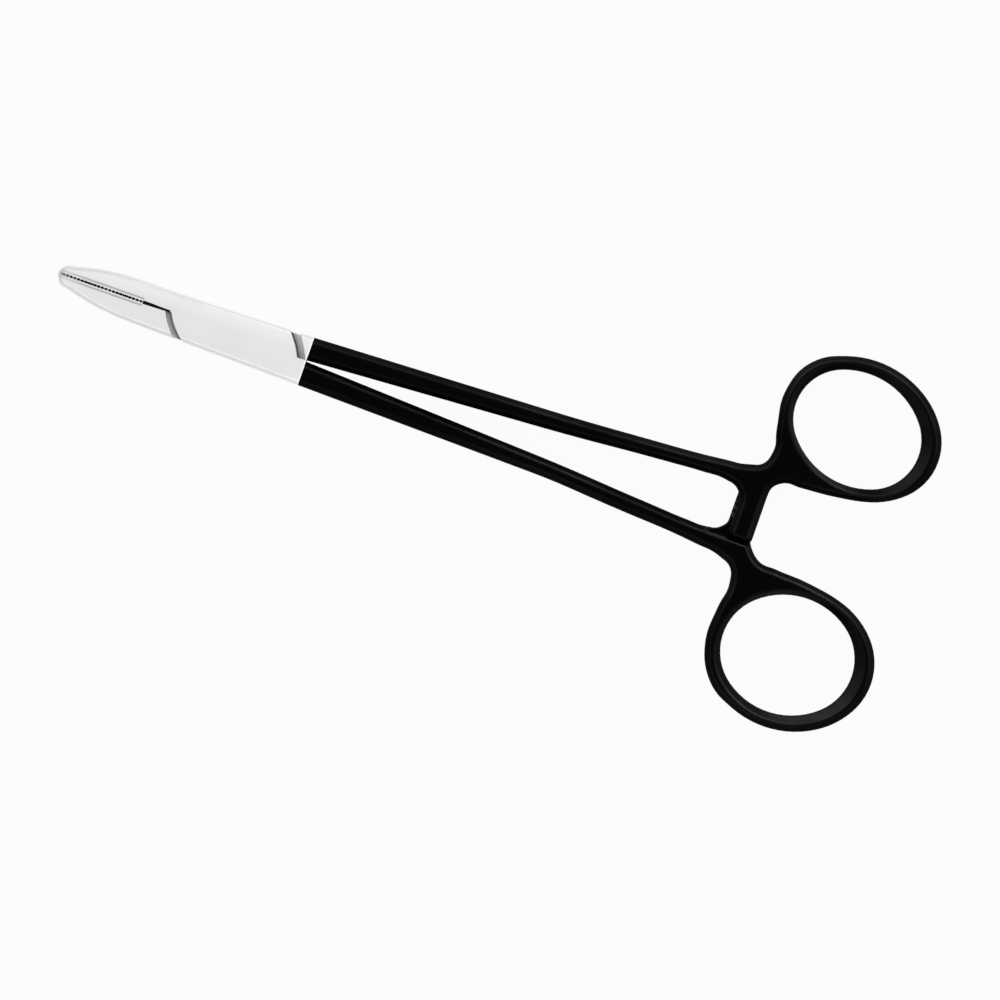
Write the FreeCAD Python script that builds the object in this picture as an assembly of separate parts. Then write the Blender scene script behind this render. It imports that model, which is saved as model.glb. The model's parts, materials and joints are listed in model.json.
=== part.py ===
"""Needle holder with ring handles: two forged halves crossing in a box lock, a rivet and two jaw inserts.

The instrument lies flat. The origin is on the plane it lies on, straight below the rivet.
X runs from the jaws to the finger rings, Y across the instrument, Z up through the box lock.
The female half carries the upper jaw, the box and the lower ring. The male half carries the
lower jaw, the tongue that runs through the box and the upper ring.
"""
import FreeCAD
import Part
import math
import os

from FreeCAD import Vector

# Box lock
BOX_THICKNESS = 6.0
BOX_START_X = -8.0
TONGUE_THICKNESS = 2.2
TONGUE_CLEARANCE = 0.05
TONGUE_RADIUS = 4.4
STOP_ANGLE = 41.0
PARTING_GAP = 0.06
JAW_PARTING_Y = 0.2
SHANK_PARTING_Y = 0.0
HEAD_EDGE_RADIUS = 1.3

# Rivet
RIVET_RADIUS = 1.6
RIVET_CLEARANCE = 0.03
RIVET_HEAD_RADIUS = 2.0
RIVET_HEAD_DEPTH = 0.5

# Jaws and inserts
JAW_TIP_X = -37.6
JAW_LINE_Y = 0.25
INSERT_END_X = -19.7
INSERT_THICKNESS = 0.7
INSERT_GAP = 0.05
RELIEF_DEPTH = 0.25
TOOTH_PITCH = 0.55
TOOTH_DEPTH = 0.26

# Handles
COAT_START_X = 15.0
TAPER_END_X = 60.0
SHANK_BEND_X = 65.0
HANDLE_THICKNESS = 4.6
HANDLE_EDGE_BEVEL = 1.1
RIM_WALL_HEIGHT = 1.8
RING_Y = 23.6

# Ratchet
BAR_RIGHT_X = 110.9
BAR_WIDTH = 5.0
BAR_OFFSET = 0.7
BAR_REACH = 5.6
BAR_GAP = 0.1
BAR_CLEARANCE = 0.35
BAR_CORNER_RADIUS = 1.3
LEDGE_LENGTH = 3.0
RATCHET_PITCH = 1.4
RATCHET_DEPTH = 0.6
RATCHET_NOTCHES = 4

MID_Z = BOX_THICKNESS / 2

# Cutters run past the surface by a margin, or far past the whole instrument
MARGIN = 1.0
FAR = 200.0

# Sides of the head seen from above, as (x, y)
HEAD_UPPER_SIDE = [(JAW_TIP_X, JAW_LINE_Y), (-36.9, 1.85), (-34.5, 2.6), (-8.5, 4.36),
                   (COAT_START_X, 4.85)]
HEAD_LOWER_SIDE = [(JAW_TIP_X, JAW_LINE_Y), (-36.9, -1.6), (-34.5, -2.35), (-8.5, -4.7),
                   (COAT_START_X, -5.2)]
HEAD_REACH_Y = 5.5

# The cutter that mills each shoulder is round. The box ends on the same centre, a gap further in.
JAW_SHOULDER = {"centre": (-2.2, 5.7), "radius": 13.85, "gap": 1.15, "cove": 1.0}
SHANK_SHOULDER = {"centre": (-1.2, -6.4), "radius": 17.2, "gap": 1.6, "cove": 1.3}

# Half of the thickness along x, in straight slopes
HEAD_PROFILE = [(JAW_TIP_X - MARGIN, 1.32), (BOX_START_X, MID_Z), (FAR, MID_Z)]
HANDLE_PROFILE = [(COAT_START_X, MID_Z), (TAPER_END_X, HANDLE_THICKNESS / 2), (FAR, HANDLE_THICKNESS / 2)]

# Each handle seen from above. The root is where its shank leaves the box, and up to the bends its
# sides are straight. The fork runs on from the inner bend to the ratchet bar, the neck from the bar
# to the ring, and the heel from the ring back to the outer bend. Places behind the bends are (x from
# the right side of the upper handle's bar, y). The band of the ring and the bevel round its hole are
# given by how far each grows past the hole. The band follows its oval from the first angle to the last.
UPPER_HANDLE = {
    "root": [(COAT_START_X, 0.05), (COAT_START_X, 4.85)],
    "bends": [(SHANK_BEND_X, 3.0), (SHANK_BEND_X, 6.73)],
    "fork": [(-21.9, 4.77), (-13.9, 5.27), (-9.4, 5.35), (-6.3, 4.4)],
    "bar": {"right": 0.0, "left_root_y": 2.2, "right_root_y": 4.4},
    "neck": [(0.5, 7.0), (2.0, 8.25), (6.3, 8.65), (11.6, 9.05)],
    "hole": {"centre": (12.6, RING_Y - 0.2), "half": (13.45, 11.1), "tilt": -15.8},
    "band": {"shift": (0.5, 0.23), "width": (3.55, 2.7), "turn": 5.3},
    "bevel": {"shift": (0.6, 0.25), "width": (1.7, 1.3), "turn": 0.0},
    "first_angle": -58.0,
    "last_angle": 124.0,
    "heel": [(1.35, 34.65), (-1.65, 31.6), (-3.55, 25.7), (-2.65, 18.15), (-1.8, 14.0), (-2.85, 10.9),
             (-5.95, 9.6), (-10.9, 8.98), (-28.9, 7.65)],
}
LOWER_HANDLE = {
    "root": [(COAT_START_X, -0.2), (COAT_START_X, -5.2)],
    "bends": [(SHANK_BEND_X, -2.62), (SHANK_BEND_X, -6.26)],
    "fork": [(-21.9, -4.27), (-13.9, -4.78), (-9.9, -4.85), (-7.0, -4.05)],
    "bar": {"right": -BAR_OFFSET, "left_root_y": -2.0, "right_root_y": -3.0},
    "neck": [(0.5, -6.0), (2.9, -8.05), (6.6, -8.4), (13.1, -8.8)],
    "hole": {"centre": (14.3, -RING_Y - 0.2), "half": (13.55, 11.95), "tilt": 2.4},
    "band": {"shift": (0.57, -0.33), "width": (3.58, 2.7), "turn": 2.1},
    "bevel": {"shift": (0.6, -0.25), "width": (1.7, 1.3), "turn": 0.0},
    "first_angle": 62.0,
    "last_angle": -120.0,
    "heel": [(2.85, -35.2), (0.0, -32.05), (-2.2, -26.1), (-2.0, -19.2), (-1.35, -14.4), (-2.3, -11.1),
             (-5.4, -9.5), (-10.9, -8.72), (-28.9, -7.36)],
}


def vec(point, z=0.0):
    return Vector(point[0], point[1], z)


def line(start, end):
    return Part.LineSegment(vec(start), vec(end)).toShape()


def arc(start, middle, end):
    return Part.Arc(vec(start), vec(middle), vec(end)).toShape()


def leaving_arc(start, direction, end):
    """Arc from start to end that leaves start in the given direction."""
    chord = end - start
    along = direction.dot(chord) / chord.Length
    aside = direction - chord * (along / chord.Length)
    if aside.Length < 1e-6:
        return Part.LineSegment(start, end).toShape()
    rise = chord.Length / 2 * aside.Length / (1 + along)
    middle = start + chord * 0.5 + aside.normalize() * rise
    return Part.Arc(start, middle, end).toShape()


def arc_pair(start, leaving, end, arriving):
    """Two arcs that meet smoothly between two points with given directions."""
    chord = end - start
    both = leaving + arriving
    spread = 2 * (1 - leaving.dot(arriving))
    if spread < 1e-9:
        reach = chord.dot(chord) / (2 * chord.dot(both))
    else:
        reach = (math.sqrt(chord.dot(both) ** 2 + spread * chord.dot(chord)) - chord.dot(both)) / spread
    first = start + leaving * reach
    second = end - arriving * reach
    middle = (first + second) * 0.5
    return [leaving_arc(start, leaving, middle), leaving_arc(middle, (second - first).normalize(), end)]


def smooth_curve(points, start, end):
    """Arcs that run smoothly through the points, leaving along start and arriving along end."""
    directions = [start.normalize()]
    for before, here, after in zip(points, points[1:], points[2:]):
        step_in = here - before
        step_out = after - here
        lean = step_in * (step_out.Length / step_in.Length) + step_out * (step_in.Length / step_out.Length)
        directions.append(lean.normalize())
    directions.append(end.normalize())
    edges = []
    for i in range(len(points) - 1):
        edges += arc_pair(points[i], directions[i], points[i + 1], directions[i + 1])
    return edges


def turned(point, degrees):
    """The point turned about the rivet."""
    angle = math.radians(degrees)
    x, y = point
    return (x * math.cos(angle) - y * math.sin(angle), x * math.sin(angle) + y * math.cos(angle))


def prism(edges, low=-MARGIN, high=BOX_THICKNESS + MARGIN):
    """Upright prism over a closed outline."""
    wire = Part.Wire(Part.__sortEdges__(edges))
    shape = Part.Face(wire).extrude(Vector(0, 0, high - low))
    shape.translate(Vector(0, 0, low))
    return shape


def polygon_prism(points, low=-MARGIN, high=BOX_THICKNESS + MARGIN):
    return prism([line(a, b) for a, b in zip(points, points[1:] + points[:1])], low, high)


def disc(radius, low=-MARGIN, high=BOX_THICKNESS + MARGIN):
    return Part.makeCylinder(radius, high - low, Vector(0, 0, low))


def mirrored(shape):
    """The shape seen in the middle plane of the instrument's thickness."""
    return shape.mirror(Vector(0, 0, MID_Z), Vector(0, 0, 1))


def one_solid(shape):
    """The single solid that a cut or a fuse has to leave."""
    shape = shape.removeSplitter()
    if len(shape.Solids) != 1:
        raise ValueError("expected one solid, found %d" % len(shape.Solids))
    return shape.Solids[0]


def thickness_envelope(profile):
    """Slab that is as thick as the profile says along x, and wider than the instrument."""
    top = [Vector(x, -FAR, MID_Z + half) for x, half in profile]
    bottom = [Vector(x, -FAR, MID_Z - half) for x, half in reversed(profile)]
    wire = Part.makePolygon(top + bottom + top[:1])
    return Part.Face(wire).extrude(Vector(0, 2 * FAR, 0))


def long_edges(shape, profile):
    """Edges that run round the outline on the top and bottom faces."""
    found = []
    for edge in shape.Edges:
        box = edge.BoundBox
        upright = box.XLength < 1e-3 and box.YLength < 1e-3
        across = box.XLength < 1e-3 and any(abs(box.XMin - x) < 1e-3 for x, half in profile)
        if not upright and not across:
            found.append(edge)
    return found


def head_side(points, side):
    """One side of the head: round nose, long arc of the jaw, straight box."""
    points = [vec(point) for point in points]
    tail = points[-1] - points[-2]
    return smooth_curve(points[:-1], Vector(0, side, 0), tail) + [line(points[-2], points[-1])]


def head_blank():
    """Both jaws and the box as they are ground together, with rounded long edges."""
    outline = head_side(HEAD_UPPER_SIDE, 1) + head_side(HEAD_LOWER_SIDE, -1)
    outline.append(line(HEAD_UPPER_SIDE[-1], HEAD_LOWER_SIDE[-1]))
    blank = prism(outline).common(thickness_envelope(HEAD_PROFILE))
    return blank.makeFillet(HEAD_EDGE_RADIUS, long_edges(blank, HEAD_PROFILE + [(COAT_START_X, MID_Z)]))


def shoulder_side(shoulder):
    """1 for the shoulder at the shanks, which opens towards +y, and -1 for the one at the jaws."""
    return -math.copysign(1, shoulder["centre"][1])


def round_x(shoulder, radius, y):
    """Where a circle about the shoulder's centre crosses a height y, on the shoulder's side."""
    centre_x, centre_y = shoulder["centre"]
    return centre_x + shoulder_side(shoulder) * math.sqrt(radius ** 2 - (y - centre_y) ** 2)


def box_end(shoulder, start_y):
    """End of the box's walls at one shoulder, from the parting line out past the outline."""
    radius = shoulder["radius"] - shoulder["gap"]
    end_y = shoulder_side(shoulder) * HEAD_REACH_Y
    heights = (start_y, (start_y + end_y) / 2, end_y)
    return [(round_x(shoulder, radius, y), y) for y in heights]


def female_region():
    """Seen from above, what the female half keeps at full thickness."""
    jaw_face = JAW_LINE_Y + INSERT_THICKNESS
    relief_start = JAW_LINE_Y + RELIEF_DEPTH
    jaw_end = box_end(JAW_SHOULDER, JAW_PARTING_Y)
    shank_end = box_end(SHANK_SHOULDER, SHANK_PARTING_Y - PARTING_GAP)
    points = [shank_end[-1], (shank_end[-1][0], FAR), (-FAR, FAR), (-FAR, jaw_face),
              (INSERT_END_X, jaw_face), (INSERT_END_X, relief_start), jaw_end[0]]
    edges = [line(a, b) for a, b in zip(points, points[1:])]
    edges.append(arc(*jaw_end))
    points = [jaw_end[-1], (jaw_end[-1][0], -FAR), (COAT_START_X, -FAR),
              (COAT_START_X, SHANK_PARTING_Y - PARTING_GAP), shank_end[0]]
    edges += [line(a, b) for a, b in zip(points, points[1:])]
    edges.append(arc(*shank_end))
    return prism(edges)


def jaw_region():
    """Seen from above, the male half's jaw and the arm of the tongue that carries it."""
    jaw_face = JAW_LINE_Y - INSERT_THICKNESS
    relief_start = JAW_LINE_Y - RELIEF_DEPTH
    top = JAW_PARTING_Y - PARTING_GAP
    shoulder_x = round_x(JAW_SHOULDER, JAW_SHOULDER["radius"], JAW_PARTING_Y)
    outer_x = round_x(JAW_SHOULDER, JAW_SHOULDER["radius"], -TONGUE_RADIUS)
    return polygon_prism([(-FAR, jaw_face), (INSERT_END_X, jaw_face), (INSERT_END_X, relief_start),
                          (shoulder_x, top), (0, top), (0, -TONGUE_RADIUS), (outer_x, -TONGUE_RADIUS),
                          (outer_x, -FAR), (-FAR, -FAR)])


def shank_region():
    """Seen from above, the male half's shank root and the arm of the tongue that carries it."""
    outer_x = round_x(SHANK_SHOULDER, SHANK_SHOULDER["radius"], TONGUE_RADIUS)
    return polygon_prism([(0, SHANK_PARTING_Y), (COAT_START_X, SHANK_PARTING_Y), (COAT_START_X, FAR),
                          (outer_x, FAR), (outer_x, TONGUE_RADIUS), (0, TONGUE_RADIUS)])


def shoulder_mill(shoulder):
    """Round cutter that takes the full thickness down to the tongue, with a cove at its rim."""
    floor = MID_Z + TONGUE_THICKNESS / 2
    mill = Part.makeCylinder(shoulder["radius"], BOX_THICKNESS, vec(shoulder["centre"], floor))
    rim = [edge for edge in mill.Edges if edge.BoundBox.ZMax < floor + 1e-3]
    return mill.makeFillet(shoulder["cove"], rim)


def slot_prism():
    """Space through the box that the tongue sweeps from closed to the stop."""
    low = MID_Z - TONGUE_THICKNESS / 2 - TONGUE_CLEARANCE
    high = MID_Z + TONGUE_THICKNESS / 2 + TONGUE_CLEARANCE
    radius = TONGUE_RADIUS + TONGUE_CLEARANCE
    jaw_wall = JAW_PARTING_Y
    shank_wall = SHANK_PARTING_Y - PARTING_GAP
    tangent = turned((0, -radius), STOP_ANGLE)
    far_end = turned((-FAR / 2, -radius), STOP_ANGLE)
    jaw_side = polygon_prism([(-FAR / 2, jaw_wall), (0, jaw_wall), tangent, far_end], low, high)
    tangent = turned((0, radius), STOP_ANGLE)
    far_end = turned((FAR / 2, radius), STOP_ANGLE)
    shank_side = polygon_prism([(FAR / 2, shank_wall), (0, shank_wall), tangent, far_end], low, high)
    return disc(radius, low, high).fuse([jaw_side, shank_side])


def rivet():
    """Rivet with both heads closed into their countersinks and ground flush."""
    shank = disc(RIVET_RADIUS, 0.0, BOX_THICKNESS)
    head = Part.makeCone(RIVET_HEAD_RADIUS, RIVET_RADIUS, RIVET_HEAD_DEPTH, Vector(0, 0, 0))
    return one_solid(shank.fuse([head, mirrored(head)]))


def grown(oval, change, share=1.0):
    """The oval moved, widened and turned by a share of the change."""
    return {
        "centre": [c + share * step for c, step in zip(oval["centre"], change["shift"])],
        "half": [half + share * width for half, width in zip(oval["half"], change["width"])],
        "tilt": oval["tilt"] + share * change["turn"],
    }


def oval_point(oval, degrees, z=0.0):
    angle = math.radians(degrees)
    reach = (oval["half"][0] * math.cos(angle), oval["half"][1] * math.sin(angle))
    return vec(oval["centre"], z) + vec(turned(reach, oval["tilt"]))


def oval_direction(oval, degrees):
    """Direction along the oval as the angle grows."""
    angle = math.radians(degrees)
    along = (-oval["half"][0] * math.sin(angle), oval["half"][1] * math.cos(angle))
    return vec(turned(along, oval["tilt"])).normalize()


def oval_arcs(oval, first, last, z=0.0):
    """Arcs that follow the oval from one angle to another."""
    count = math.ceil(abs(last - first) / 90.0)
    way = math.copysign(1, last - first)
    ends = [first + (last - first) * i / count for i in range(count + 1)]
    edges = []
    for start, end in zip(ends, ends[1:]):
        edges += arc_pair(oval_point(oval, start, z), oval_direction(oval, start) * way,
                          oval_point(oval, end, z), oval_direction(oval, end) * way)
    return edges


def handle_side(handle):
    """1 for the handle on the upper side, -1 for the one on the lower side."""
    return math.copysign(1, handle["hole"]["centre"][1])


def from_bar(point):
    """The place of a point that is given from the right side of the upper handle's bar."""
    return Vector(BAR_RIGHT_X + point[0], point[1], 0)


def hole_oval(handle):
    hole = handle["hole"]
    return {"centre": from_bar(hole["centre"]), "half": hole["half"], "tilt": hole["tilt"]}


def bar_outline(handle):
    """The three free sides of a ratchet bar, with round corners."""
    bar = handle["bar"]
    side = handle_side(handle)
    right = BAR_RIGHT_X + bar["right"]
    left = right - BAR_WIDTH
    end_y = -side * BAR_REACH
    corner_y = end_y + side * BAR_CORNER_RADIUS
    bend = BAR_CORNER_RADIUS * (1 - math.sqrt(0.5))
    bend_y = end_y + side * bend
    return [line((left, bar["left_root_y"]), (left, corner_y)),
            arc((left, corner_y), (left + bend, bend_y), (left + BAR_CORNER_RADIUS, end_y)),
            line((left + BAR_CORNER_RADIUS, end_y), (right - BAR_CORNER_RADIUS, end_y)),
            arc((right - BAR_CORNER_RADIUS, end_y), (right - bend, bend_y), (right, corner_y)),
            line((right, corner_y), (right, bar["right_root_y"]))]


def ring_hole(handle):
    return prism(oval_arcs(hole_oval(handle), 0, 360))


def rim_bevel(handle):
    """Cutter for the slanting bevel round the finger hole. It runs on past the top face."""
    hole = hole_oval(handle)
    run_on = 1.5
    low = MID_Z + RIM_WALL_HEIGHT / 2
    high = low + (HANDLE_THICKNESS - RIM_WALL_HEIGHT) / 2 * run_on
    narrow = Part.Wire(oval_arcs(hole, 0, 360, low))
    wide = Part.Wire(oval_arcs(grown(hole, handle["bevel"], run_on), 0, 360, high))
    return Part.makeLoft([narrow, wide], True, True)


def handle_outline(handle):
    """Edges round the shank, the ratchet bar, the neck, the ring and back along the outer side."""
    side = handle_side(handle)
    bar = handle["bar"]
    ring = grown(hole_oval(handle), handle["band"])
    first, last = handle["first_angle"], handle["last_angle"]
    inner_root, outer_root = [vec(point) for point in handle["root"]]
    inner_bend, outer_bend = [vec(point) for point in handle["bends"]]
    fork = [from_bar(point) for point in handle["fork"]]
    bar_left = from_bar((bar["right"] - BAR_WIDTH, bar["left_root_y"]))
    bar_right = from_bar((bar["right"], bar["right_root_y"]))
    neck = [bar_right] + [from_bar(point) for point in handle["neck"]] + [oval_point(ring, first)]
    heel = [oval_point(ring, last)] + [from_bar(point) for point in handle["heel"]] + [outer_bend]
    outline = [line(inner_root, inner_bend)]
    outline += smooth_curve([inner_bend] + fork + [bar_left], inner_bend - inner_root, Vector(0, -side, 0))
    outline += bar_outline(handle)
    outline += smooth_curve(neck, Vector(0, side, 0), oval_direction(ring, first) * side)
    outline += oval_arcs(ring, first, last)
    outline += smooth_curve(heel, oval_direction(ring, last) * side, outer_root - outer_bend)
    return outline + [line(outer_bend, outer_root), line(outer_root, inner_root)]


def handle_blank(handle):
    """Shank, ring and ratchet bar of one half, at full thickness, with bevelled long edges."""
    blank = prism(handle_outline(handle)).common(thickness_envelope(HANDLE_PROFILE))
    return blank.makeChamfer(HANDLE_EDGE_BEVEL, long_edges(blank, HANDLE_PROFILE))


def bar_cut(handle):
    """Ledge that the other half's ratchet bar lies on, above or below the middle of this half's web."""
    side = handle_side(handle)
    left = BAR_RIGHT_X - BAR_OFFSET - BAR_WIDTH - BAR_CLEARANCE
    right = BAR_RIGHT_X + LEDGE_LENGTH
    near = side * (BAR_REACH + BAR_CLEARANCE)
    far = -side * 2 * BAR_REACH
    if side > 0:
        low, high = -MARGIN, MID_Z + BAR_GAP / 2
    else:
        low, high = MID_Z - BAR_GAP / 2, BOX_THICKNESS + MARGIN
    corners = [(left - LEDGE_LENGTH, near), (right, near), (right, far), (left, far), (left, 0),
               (left - 2 * LEDGE_LENGTH, side * LEDGE_LENGTH)]
    return polygon_prism(corners, low, high)


def ratchet_cut(handle):
    """Saw-tooth notches across the bar, steep on the side that holds the other bar."""
    side = handle_side(handle)
    start_x = BAR_RIGHT_X - 2 * BAR_WIDTH
    face = MID_Z + side * BAR_GAP / 2
    deep = face + side * RATCHET_DEPTH
    clear = face - side * RATCHET_DEPTH
    end_y = -side * (BAR_REACH - RATCHET_PITCH)
    notches = []
    for i in range(RATCHET_NOTCHES):
        steep_y = end_y + side * i * RATCHET_PITCH
        shallow_y = steep_y + side * RATCHET_PITCH
        corners = [Vector(start_x, steep_y, clear), Vector(start_x, steep_y, deep),
                   Vector(start_x, shallow_y, face), Vector(start_x, shallow_y, clear)]
        wire = Part.makePolygon(corners + corners[:1])
        notches.append(Part.Face(wire).extrude(Vector(3 * BAR_WIDTH, 0, 0)))
    return notches[0].fuse(notches[1:])


def handle_solid(handle):
    """Shank, ring and toothed ratchet bar of one half."""
    bevel = rim_bevel(handle)
    cutters = [ring_hole(handle), bevel, mirrored(bevel), bar_cut(handle), ratchet_cut(handle)]
    return handle_blank(handle).cut(cutters)


def female_half(head):
    """Upper jaw, box, and the handle on the lower side."""
    shape = head.common(female_region()).cut(slot_prism()).cut(rivet())
    return one_solid(shape.fuse(handle_solid(LOWER_HANDLE)))


def male_half(head):
    """Lower jaw, tongue, and the handle on the upper side."""
    shape = disc(TONGUE_RADIUS, MID_Z - TONGUE_THICKNESS / 2, MID_Z + TONGUE_THICKNESS / 2)
    for region, shoulder in ((jaw_region(), JAW_SHOULDER), (shank_region(), SHANK_SHOULDER)):
        mill = shoulder_mill(shoulder)
        shape = shape.fuse(head.common(region).cut([mill, mirrored(mill)]))
    shape = shape.cut(disc(RIVET_RADIUS + RIVET_CLEARANCE))
    return one_solid(shape.fuse(handle_solid(UPPER_HANDLE)))


def groove_cut(direction, face_y, side):
    """Row of V grooves that run across the insert's face at an angle to the jaw."""
    length = 2 * abs(JAW_TIP_X - INSERT_END_X)
    count = int(length / TOOTH_PITCH)
    bottom = face_y + side * TOOTH_DEPTH
    above = face_y - side * MARGIN
    points = []
    for i in range(count):
        x = -length / 2 + i * TOOTH_PITCH
        points.append(Vector(x, face_y, 0))
        points.append(Vector(x + TOOTH_PITCH / 2, bottom, 0))
    last = -length / 2 + count * TOOTH_PITCH
    points += [Vector(last, face_y, 0), Vector(last, above, 0), Vector(-length / 2, above, 0)]
    wire = Part.makePolygon(points + points[:1])
    cutter = Part.Face(wire).extrude(Vector(0, 0, 2 * length))
    cutter.translate(Vector(0, 0, -length))
    cutter.rotate(Vector(0, 0, 0), Vector(0, 1, 0), direction)
    cutter.translate(Vector((JAW_TIP_X + INSERT_END_X) / 2, 0, MID_Z))
    return cutter


def insert(head, side):
    """Hard insert of one jaw, ground to the jaw's outline and cross-grooved on its gripping face."""
    face_y = JAW_LINE_Y + side * INSERT_GAP / 2
    seat_y = JAW_LINE_Y + side * INSERT_THICKNESS
    plate = polygon_prism([(-FAR, face_y), (INSERT_END_X, face_y), (INSERT_END_X, seat_y), (-FAR, seat_y)])
    shape = head.common(plate)
    for direction in (45, -45):
        shape = shape.cut(groove_cut(direction, face_y, side))
    return one_solid(shape)


def export(shape, name):
    shape.exportStep(os.path.join("parts", name + ".step"))
    print(name, "valid" if shape.isValid() else "NOT VALID", round(shape.Volume, 2), len(shape.Faces))


os.makedirs("parts", exist_ok=True)
head = head_blank()
export(female_half(head), "female_half")
export(male_half(head), "male_half")
export(rivet(), "box_lock_pin")
export(insert(head, 1), "upper_insert")
export(insert(head, -1), "lower_insert")
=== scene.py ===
"""Looks of the ring-handled needle holder: satin steel head, dark inserts, black coated handles."""

import json
import math

import bpy
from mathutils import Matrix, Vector

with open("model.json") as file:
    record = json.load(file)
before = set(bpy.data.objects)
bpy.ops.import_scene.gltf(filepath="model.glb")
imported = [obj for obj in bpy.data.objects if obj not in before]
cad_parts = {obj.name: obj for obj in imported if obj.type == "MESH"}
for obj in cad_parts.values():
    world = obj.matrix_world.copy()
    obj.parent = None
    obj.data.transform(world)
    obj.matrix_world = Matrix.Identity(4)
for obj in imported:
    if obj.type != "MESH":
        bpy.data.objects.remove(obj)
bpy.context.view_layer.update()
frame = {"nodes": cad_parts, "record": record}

MM = 0.001

# Places in the row frame
JAW_TIP_X = -37.6 * MM
INSERT_END_X = -19.7 * MM
RELIEF_END_X = -13.9 * MM
COAT_START_X = 15.0 * MM
JAW_LINE_Y = 0.25 * MM
MID_Z = 3.0 * MM
RIVET_AXIS = (0.0, 0.0)
RIVET_ZONE = 2.6 * MM

# Where the head's upper side is painted paler, as painted light from that side, and where the coat's
# painted sheen grows towards the rings
PAINTED_LIGHT_SIDE_Y = (0.5 * MM, 3.0 * MM)
PAINTED_SHINE_X = (35.0 * MM, 95.0 * MM)

# The inserts: how far back the teeth and the brazed line lie from the jaw line
INSERT_THICKNESS = 0.7 * MM
TOOTH_ZONE = 0.32 * MM
SEAM_WIDTH = 0.16 * MM
SEAM_FADE_X = (-37.0 * MM, -31.0 * MM)

# The ground relief behind the inserts, painted near black as shade: its sides at the inserts and at the
# box
RELIEF_LOW_Y = (-0.12 * MM, 0.02 * MM)
RELIEF_HIGH_Y = (0.60 * MM, 0.48 * MM)

# The grooves at the two shoulders, painted with shade: arcs round an upright axis, below the faces of the
# box
JAW_GROOVE = {"centre": (-2.2 * MM, 5.7 * MM), "box_end": 12.7 * MM, "far_wall": 13.85 * MM,
              "side": -1.0, "darkest_shade": 0.13}
SHANK_GROOVE = {"centre": (-1.2 * MM, -6.4 * MM), "box_end": 15.6 * MM, "far_wall": 17.2 * MM,
                "side": 1.0, "darkest_shade": 0.03}
GROOVE_START_X = 5.0 * MM
GROOVE_HEIGHT = 2.45 * MM

# Rounding of sharp edges, in the shading alone
STEEL_EDGE = 0.3 * MM
COAT_EDGE = 0.8 * MM
FACET_ANGLE = 32.0

# Half the width over which one colour changes into another at a sharp border
BLEND = 0.02 * MM

# Camera: straight above, turned as the instrument lies in the photograph
CAMERA_CENTRE = Vector((60.71 * MM, -13.51 * MM, 3.0 * MM))
CAMERA_TURN = 19.3
CAMERA_HEIGHT = 2.0
CAMERA_FIELD = 200.0 * MM
SENSOR_WIDTH = 36.0

# Light
ROOM_LIGHT = 0.55
HORIZON_LIGHT = 0.62
FAR_LAMP = {"place": (0.30, 0.80, 0.34), "size": (0.5, 0.2), "power": 1.2}
NEAR_LAMP = {"place": (0.0, -0.75, 0.50), "size": (0.9, 0.22), "power": 0.5}

# Floor
FLOOR_WHITE = 0.95
FLOOR_DROP = 0.02 * MM
SHADE_REACH = 8.0 * MM


def grey(value, blue=0.0):
    return (value, value, value + blue, 1)


# Colours
WHITE = grey(1.0)
FLOOR_GREY = grey(0.9)
STEEL_DULL = grey(0.78, 0.004)
STEEL_BRIGHT = grey(0.82, 0.002)
# Painted light: the head's upper side, painted paler
STEEL_PAINTED_LIGHT_SIDE = grey(0.88)
STEEL_RIM = grey(0.97)
# Painted shade in corners and gaps
STEEL_CORNER_SHADE = grey(0.20)
# Painted shade in the shoulder grooves
GROOVE_SHADE_MIDDLE = grey(0.42)
BRAZED_LINE = grey(0.42)
# Painted shade over the relief gap
RELIEF_SHADE = grey(0.012)
COAT_BLACKS = (grey(0.0003), grey(0.0007))
# Dark teeth, and painted shade along the jaw line
TOOTH_AND_LINE_SHADE_GREYS = (grey(0.015), grey(0.09))
PLATE_GREYS = (grey(0.70), grey(0.78))


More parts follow.
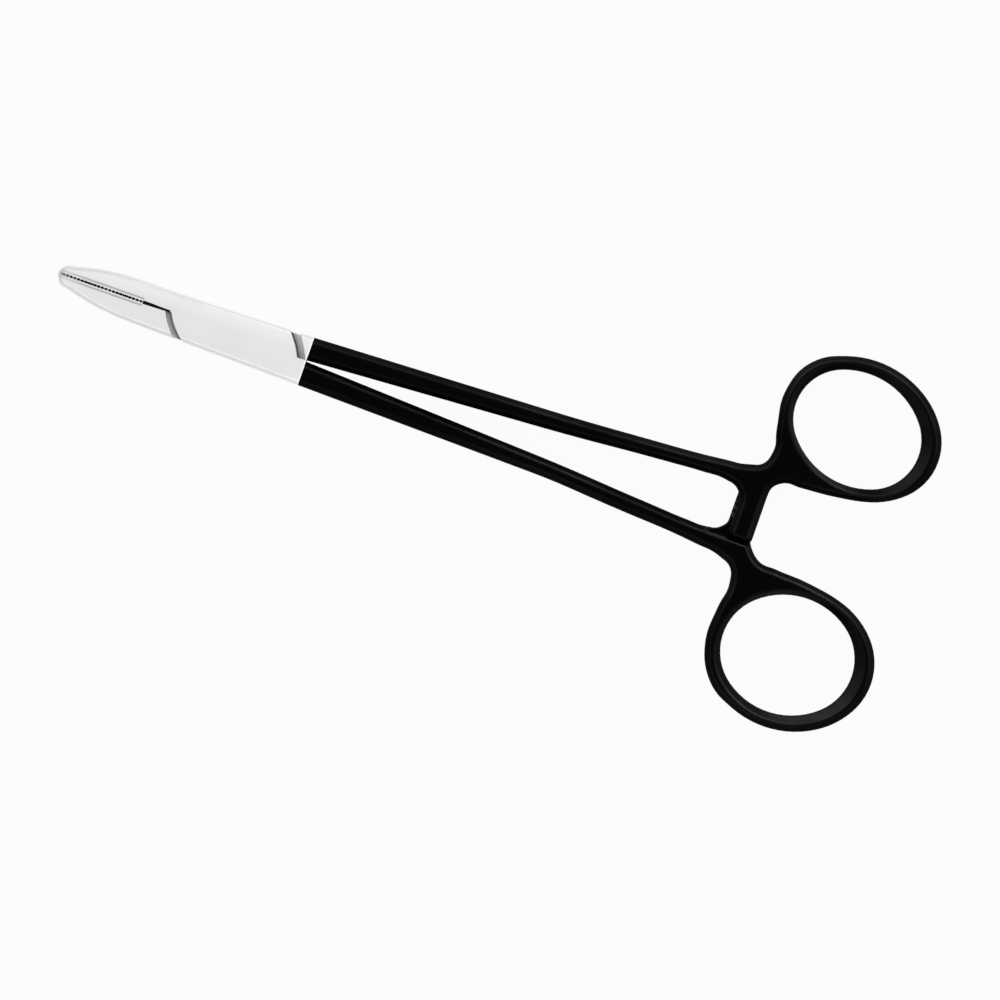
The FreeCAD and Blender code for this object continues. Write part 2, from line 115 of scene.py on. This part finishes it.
class Nodes:
    """Short way to write a node tree: what is added comes back as a socket."""

    def __init__(self, tree):
        self.tree = tree
        self.tree.nodes.clear()

    def add(self, kind, inputs=None, **settings):
        node = self.tree.nodes.new(kind)
        for name, value in settings.items():
            setattr(node, name, value)
        for name, value in (inputs or {}).items():
            self.put(node, name, value)
        return node

    def put(self, node, name, value):
        socket = node.inputs[name]
        if isinstance(value, bpy.types.NodeSocket):
            self.tree.links.new(value, socket)
        else:
            socket.default_value = value

    def math(self, operation, *values):
        node = self.add("ShaderNodeMath", operation=operation)
        for index, value in enumerate(values):
            self.put(node, index, value)
        return node.outputs[0]

    def product(self, first, *others):
        for value in others:
            first = self.math("MULTIPLY", first, value)
        return first

    def step(self, value, low, high, start=0.0, end=1.0):
        """Smooth change from start at low to end at high."""
        node = self.add("ShaderNodeMapRange", interpolation_type="SMOOTHSTEP",
                        inputs={"Value": value, "From Min": low, "From Max": high,
                                "To Min": start, "To Max": end})
        return node.outputs["Result"]

    def band(self, value, low, high, soft):
        """1 between low and high."""
        return self.product(self.step(value, low - soft, low + soft),
                            self.step(value, high - soft, high + soft, 1.0, 0.0))

    def mix(self, factor, first, second):
        """Mix of two colours."""
        node = self.add("ShaderNodeMix", data_type="RGBA", inputs={0: factor, 6: first, 7: second})
        return node.outputs[2]

    def between(self, factor, first, second):
        """Mix of two directions."""
        node = self.add("ShaderNodeMix", data_type="VECTOR", inputs={0: factor, 4: first, 5: second})
        return node.outputs[1]

    def split(self, vector):
        return self.add("ShaderNodeSeparateXYZ", inputs={"Vector": vector}).outputs

    def reach(self, surface, centre):
        """Distance from an upright axis."""
        aside = [self.math("SUBTRACT", value, middle)
                 for value, middle in zip((surface.x, surface.y), centre)]
        squares = [self.math("MULTIPLY", value, value) for value in aside]
        return self.math("SQRT", self.math("ADD", *squares))

    def noise(self, vector, scale, stretch=(1, 1, 1), detail=2.0):
        mapping = self.add("ShaderNodeMapping", inputs={"Vector": vector, "Scale": stretch})
        node = self.add("ShaderNodeTexNoise",
                        inputs={"Vector": mapping.outputs[0], "Scale": scale, "Detail": detail})
        return node.outputs["Fac"]

    def bump(self, height, strength, distance, normal=None):
        node = self.add("ShaderNodeBump",
                        inputs={"Height": height, "Strength": strength, "Distance": distance})
        if normal is not None:
            self.put(node, "Normal", normal)
        return node.outputs[0]

    def rounded(self, radius):
        """Normal of a surface whose edges are rounded by this radius."""
        return self.add("ShaderNodeBevel", samples=6, inputs={"Radius": radius}).outputs[0]

    def openness(self, distance):
        """1 on open surfaces, down to 0 deep in a gap or a corner."""
        node = self.add("ShaderNodeAmbientOcclusion", samples=8, inputs={"Distance": distance})
        return node.outputs["AO"]

    def surface_output(self, shader):
        self.add("ShaderNodeOutputMaterial", inputs={"Surface": shader})


class Surface:
    """What the materials of this instrument read about a point of its surface."""

    def __init__(self, nodes):
        source = nodes.add("ShaderNodeTexCoord").outputs
        self.place = source["Object"]
        self.x, self.y, z = nodes.split(self.place)
        self.facing_y = nodes.math("ABSOLUTE", nodes.split(source["Normal"])[1])
        self.depth = nodes.math("ABSOLUTE", nodes.math("SUBTRACT", self.y, JAW_LINE_Y))
        self.height = nodes.math("ABSOLUTE", nodes.math("SUBTRACT", z, MID_Z))
        self.normal = nodes.add("ShaderNodeNewGeometry").outputs["Normal"]


def new_material(name):
    material = bpy.data.materials.new(name)
    material.use_nodes = True
    return material, Nodes(material.node_tree)


def seam(nodes, surface):
    """1 on the brazed line round each insert, which is fainter towards the tip."""
    aside = nodes.math("ABSOLUTE", nodes.math("SUBTRACT", surface.depth, INSERT_THICKNESS))
    return nodes.product(nodes.step(aside, SEAM_WIDTH * 0.5, SEAM_WIDTH * 1.5, 1.0, 0.0),
                         nodes.step(surface.x, INSERT_END_X, INSERT_END_X + 0.1 * MM, 1.0, 0.0),
                         nodes.step(surface.x, *SEAM_FADE_X, 0.35, 1.0))


def shoulder_groove(nodes, surface, groove):
    """Where a shoulder's groove is, and its painted shade: dark along the box, clear at the far wall."""
    start = groove["box_end"]
    width = groove["far_wall"] - start
    reach = nodes.reach(surface, groove["centre"])
    outward = nodes.math("MULTIPLY", surface.x, groove["side"])
    upward = nodes.math("MULTIPLY", surface.y, groove["side"])
    inside = nodes.product(
        nodes.band(reach, start + 0.04 * MM, groove["far_wall"] + 0.1 * MM, BLEND),
        nodes.step(surface.height, GROOVE_HEIGHT, GROOVE_HEIGHT + 0.2 * MM, 1.0, 0.0),
        nodes.step(outward, GROOVE_START_X, GROOVE_START_X + 1.0 * MM),
        nodes.step(upward, -0.25 * MM, -0.2 * MM))
    near_box = nodes.step(reach, start + 0.1 * width, start + 0.35 * width)
    near_wall = nodes.step(reach, start + 0.35 * width, start + 0.8 * width)
    shade = nodes.mix(near_box, grey(groove["darkest_shade"]), GROOVE_SHADE_MIDDLE)
    return inside, nodes.mix(near_wall, shade, WHITE)


def relief(nodes, surface):
    """1 in the ground relief between the inserts and the box: painted shade where no light reaches."""
    low = nodes.step(surface.x, INSERT_END_X, RELIEF_END_X, *RELIEF_LOW_Y)
    high = nodes.step(surface.x, INSERT_END_X, RELIEF_END_X, *RELIEF_HIGH_Y)
    return nodes.product(nodes.step(nodes.math("SUBTRACT", surface.y, low), -BLEND, BLEND),
                         nodes.step(nodes.math("SUBTRACT", high, surface.y), -BLEND, BLEND),
                         nodes.band(surface.x, INSERT_END_X - 0.1 * MM, RELIEF_END_X, BLEND))


def steel_shader(nodes, surface):
    """Satin stainless steel, blasted even, with painted shade in its corners, gaps, shoulder grooves and
    relief.
    """
    grain = nodes.noise(surface.place, 1500.0, (0.3, 1, 1), detail=3.0)
    cloud = nodes.noise(surface.place, 110.0, (0.5, 1, 1))
    colour = nodes.mix(nodes.step(cloud, 0.3, 0.7), STEEL_DULL, STEEL_BRIGHT)
    # Painted light: the upper side is painted paler, as if lit from that side
    painted_light_side = nodes.step(surface.y, *PAINTED_LIGHT_SIDE_Y, 0.0, 0.7)
    colour = nodes.mix(painted_light_side, colour, STEEL_PAINTED_LIGHT_SIDE)
    rim = nodes.step(surface.x, COAT_START_X - 0.36 * MM, COAT_START_X - 0.2 * MM)
    colour = nodes.mix(rim, colour, STEEL_RIM)
    # Painted shade: darker where corners and gaps shut the surface in
    colour = nodes.mix(nodes.step(nodes.openness(1.2 * MM), 0.05, 0.85), STEEL_CORNER_SHADE, colour)
    metallic = 1.0
    # Painted shade in the shoulder grooves, made less metallic there so that the far wall stays light
    for groove in (JAW_GROOVE, SHANK_GROOVE):
        inside, shade = shoulder_groove(nodes, surface, groove)
        colour = nodes.mix(inside, colour, shade)
        metallic = nodes.math("SUBTRACT", metallic, nodes.math("MULTIPLY", inside, 0.7))
    colour = nodes.mix(seam(nodes, surface), colour, BRAZED_LINE)
    # Painted shade: near black over the relief gap
    colour = nodes.mix(relief(nodes, surface), colour, RELIEF_SHADE)
    round_zone = nodes.product(
        nodes.step(surface.height, GROOVE_HEIGHT, GROOVE_HEIGHT + 0.1 * MM),
        nodes.step(nodes.reach(surface, RIVET_AXIS), RIVET_ZONE, RIVET_ZONE + 0.2 * MM))
    normal = nodes.between(round_zone, surface.normal, nodes.rounded(STEEL_EDGE))
    shader = nodes.add("ShaderNodeBsdfPrincipled",
                       inputs={"Base Color": colour, "Metallic": metallic,
                               "Roughness": nodes.step(grain, 0.3, 0.7, 0.34, 0.42),
                               "Normal": nodes.bump(grain, 0.08, 0.02 * MM, normal)})
    return shader.outputs[0]


def coat_shader(nodes, surface):
    """Black coat over a forged handle: deep black on its flats, with a painted sheen along its edges,
    stronger on edges facing +y and towards the rings.
    """
    fine = nodes.noise(surface.place, 1400.0, detail=3.0)
    wave = nodes.noise(surface.place, 140.0)
    patch = nodes.noise(surface.place, 55.0)
    colour = nodes.mix(nodes.step(wave, 0.35, 0.65), *COAT_BLACKS)
    roughness = nodes.step(wave, 0.3, 0.7, 0.26, 0.34)
    rounded = nodes.rounded(COAT_EDGE)
    normal = nodes.bump(fine, 0.05, 0.02 * MM, nodes.bump(wave, 0.08, 0.3 * MM, rounded))
    deep, shine = [nodes.add("ShaderNodeBsdfPrincipled",
                             inputs={"Base Color": colour, "Metallic": 0.0, "Roughness": roughness,
                                     "Specular IOR Level": level, "Normal": normal}).outputs[0]
                   for level in (0.02, 1.0)]
    weight = nodes.add("ShaderNodeLayerWeight", inputs={"Blend": 0.5, "Normal": rounded})
    tilt = weight.outputs["Facing"]
    # Painted sheen: the shine is weighted by tilt, stronger on edges facing +y, in patches and towards the
    # rings
    painted_sheen = nodes.product(nodes.step(tilt, 0.0, 0.12),
                          nodes.step(tilt, 0.14, 0.28, 1.0, 0.2),
                          nodes.step(nodes.split(rounded)[1], -0.25, 0.35, 0.2, 1.0),
                          nodes.step(patch, 0.35, 0.65, 0.15, 0.45),
                          nodes.step(surface.x, *PAINTED_SHINE_X, 0.6, 1.6))
    return nodes.add("ShaderNodeMixShader", inputs={0: painted_sheen, 1: deep, 2: shine}).outputs[0]


def half_material():
    """Steel in front, coat behind: the coat starts at a straight masked edge."""
    material, nodes = new_material("steel_and_black_coat")
    surface = Surface(nodes)
    edge = nodes.step(surface.x, COAT_START_X - 0.01 * MM, COAT_START_X + 0.01 * MM)
    mixed = nodes.add("ShaderNodeMixShader",
                      inputs={0: edge, 1: steel_shader(nodes, surface), 2: coat_shader(nodes, surface)})
    nodes.surface_output(mixed.outputs[0])
    return material


def steel_material():
    material, nodes = new_material("steel")
    nodes.surface_output(steel_shader(nodes, Surface(nodes)))
    return material


def carbide_material():
    """Dark sintered teeth on the gripping face of a bright ground plate, with painted shade along the jaw
    line.
    """
    material, nodes = new_material("carbide")
    surface = Surface(nodes)
    flank = nodes.product(nodes.step(surface.facing_y, 0.3, 0.5),
                          nodes.step(surface.depth, TOOTH_ZONE, TOOTH_ZONE + 0.05 * MM, 1.0, 0.0))
    # Painted shade: a dark band along the jaw line, whichever way the surface faces
    jaw_line_shade = nodes.step(surface.depth, 0.08 * MM, 0.12 * MM, 1.0, 0.0)
    teeth_and_line_shade = nodes.math("MAXIMUM", flank, jaw_line_shade)
    grain = nodes.noise(surface.place, 2500.0, detail=3.0)
    dark = nodes.mix(grain, *TOOTH_AND_LINE_SHADE_GREYS)
    bright = nodes.mix(seam(nodes, surface), nodes.mix(grain, *PLATE_GREYS), BRAZED_LINE)
    shader = nodes.add("ShaderNodeBsdfPrincipled",
                       inputs={"Base Color": nodes.mix(teeth_and_line_shade, bright, dark), "Metallic": 1.0,
                               "Roughness": 0.32, "Normal": nodes.bump(grain, 0.1, 0.01 * MM)})
    nodes.surface_output(shader.outputs[0])
    return material


def dress_nodes():
    """Give every node of the frame its material, with smooth shading over its curved faces."""
    by_slot = {"steel_and_coat": half_material(), "steel": steel_material(), "carbide": carbide_material()}
    for part in frame["record"]["subparts"]:
        node = frame["nodes"][part["node"]]
        node.data.materials.clear()
        node.data.materials.append(by_slot[part["material_slot"]])
        if part["material_slot"] != "carbide":
            node.data.shade_smooth()
            node.data.set_sharp_from_angle(angle=math.radians(FACET_ANGLE))


def seen_by_eye(nodes):
    """1 for rays that show a surface straight, in a reflection or through glass."""
    path = nodes.add("ShaderNodeLightPath").outputs
    either = nodes.math("MAXIMUM", path["Is Camera Ray"], path["Is Glossy Ray"])
    return nodes.math("MAXIMUM", either, path["Is Transmission Ray"])


def floor_glow_and_painted_shadow(nodes):
    """1 on the open floor, 0 where a narrow gap of the head shuts it in: a painted shadow in the floor's
    glow, darker still under the closed teeth.
    """
    x, y = nodes.split(nodes.add("ShaderNodeTexCoord").outputs["Object"])[:2]
    openness = nodes.openness(SHADE_REACH)
    # Painted shadow: under the teeth the floor's glow dims sooner
    shadow_under_teeth = nodes.product(nodes.band(x, JAW_TIP_X - 0.4 * MM, INSERT_END_X, 0.2 * MM),
                                nodes.band(y, JAW_LINE_Y - 0.4 * MM, JAW_LINE_Y + 0.4 * MM, 0.1 * MM))
    beside_teeth = nodes.math("SUBTRACT", 1.0, shadow_under_teeth)
    opened = nodes.math("MINIMUM", nodes.step(openness, 0.2, 0.42),
                        nodes.math("MAXIMUM", nodes.step(openness, 0.46, 0.66), beside_teeth))
    behind_head = nodes.step(x, COAT_START_X - 5.0 * MM, COAT_START_X)
    return nodes.math("MAXIMUM", opened, behind_head)


def make_floor():
    """Plain white floor that keeps a faint shadow, and a painted dark shadow where a narrow gap shuts it
    in.
    """
    bpy.ops.mesh.primitive_plane_add(size=6.0, location=(0.0, 0.0, -FLOOR_DROP))
    floor = bpy.context.object
    floor.name = "floor"
    material, nodes = new_material("floor")
    diffuse = nodes.add("ShaderNodeBsdfDiffuse", inputs={"Color": FLOOR_GREY})
    glow = nodes.add("ShaderNodeEmission", inputs={"Color": WHITE, "Strength": floor_glow_and_painted_shadow(nodes)})
    factor = nodes.math("MULTIPLY", seen_by_eye(nodes), FLOOR_WHITE)
    mixed = nodes.add("ShaderNodeMixShader",
                      inputs={0: factor, 1: diffuse.outputs[0], 2: glow.outputs[0]})
    nodes.surface_output(mixed.outputs[0])
    floor.data.materials.append(material)


def make_world():
    """White room overhead, a little darker towards the horizon, with an even soft light."""
    world = bpy.data.worlds.new("room")
    world.use_nodes = True
    nodes = Nodes(world.node_tree)
    up = nodes.split(nodes.add("ShaderNodeTexCoord").outputs["Generated"])[2]
    seen = seen_by_eye(nodes)
    shown = nodes.math("MULTIPLY", nodes.step(up, 0.0, 0.9, HORIZON_LIGHT, 1.0), seen)
    even = nodes.math("MULTIPLY", ROOM_LIGHT, nodes.math("SUBTRACT", 1.0, seen))
    background = nodes.add("ShaderNodeBackground",
                           inputs={"Color": WHITE, "Strength": nodes.math("ADD", shown, even)})
    nodes.add("ShaderNodeOutputWorld", inputs={"Surface": background.outputs[0]})
    bpy.context.scene.world = world


def make_lamp(name, place, size, power):
    """Rectangular soft lamp that faces the instrument."""
    data = bpy.data.lights.new(name, "AREA")
    data.shape = "RECTANGLE"
    data.size, data.size_y = size
    data.energy = power
    lamp = bpy.data.objects.new(name, data)
    lamp.location = place
    lamp.rotation_euler = (CAMERA_CENTRE - lamp.location).to_track_quat("-Z", "Y").to_euler()
    bpy.context.scene.collection.objects.link(lamp)


def make_camera():
    """Long lens straight above, which shows the instrument almost without perspective."""
    data = bpy.data.cameras.new("camera")
    data.sensor_width = SENSOR_WIDTH
    data.lens = SENSOR_WIDTH * CAMERA_HEIGHT / CAMERA_FIELD
    data.clip_end = 10.0
    camera = bpy.data.objects.new("camera", data)
    camera.location = CAMERA_CENTRE + Vector((0.0, 0.0, CAMERA_HEIGHT))
    camera.rotation_euler = (0.0, 0.0, math.radians(CAMERA_TURN))
    bpy.context.scene.collection.objects.link(camera)
    bpy.context.scene.camera = camera


dress_nodes()
make_floor()
make_world()
make_lamp("far_lamp", **FAR_LAMP)
make_lamp("near_lamp", **NEAR_LAMP)
make_camera()
bpy.context.scene.view_settings.view_transform = "Standard"
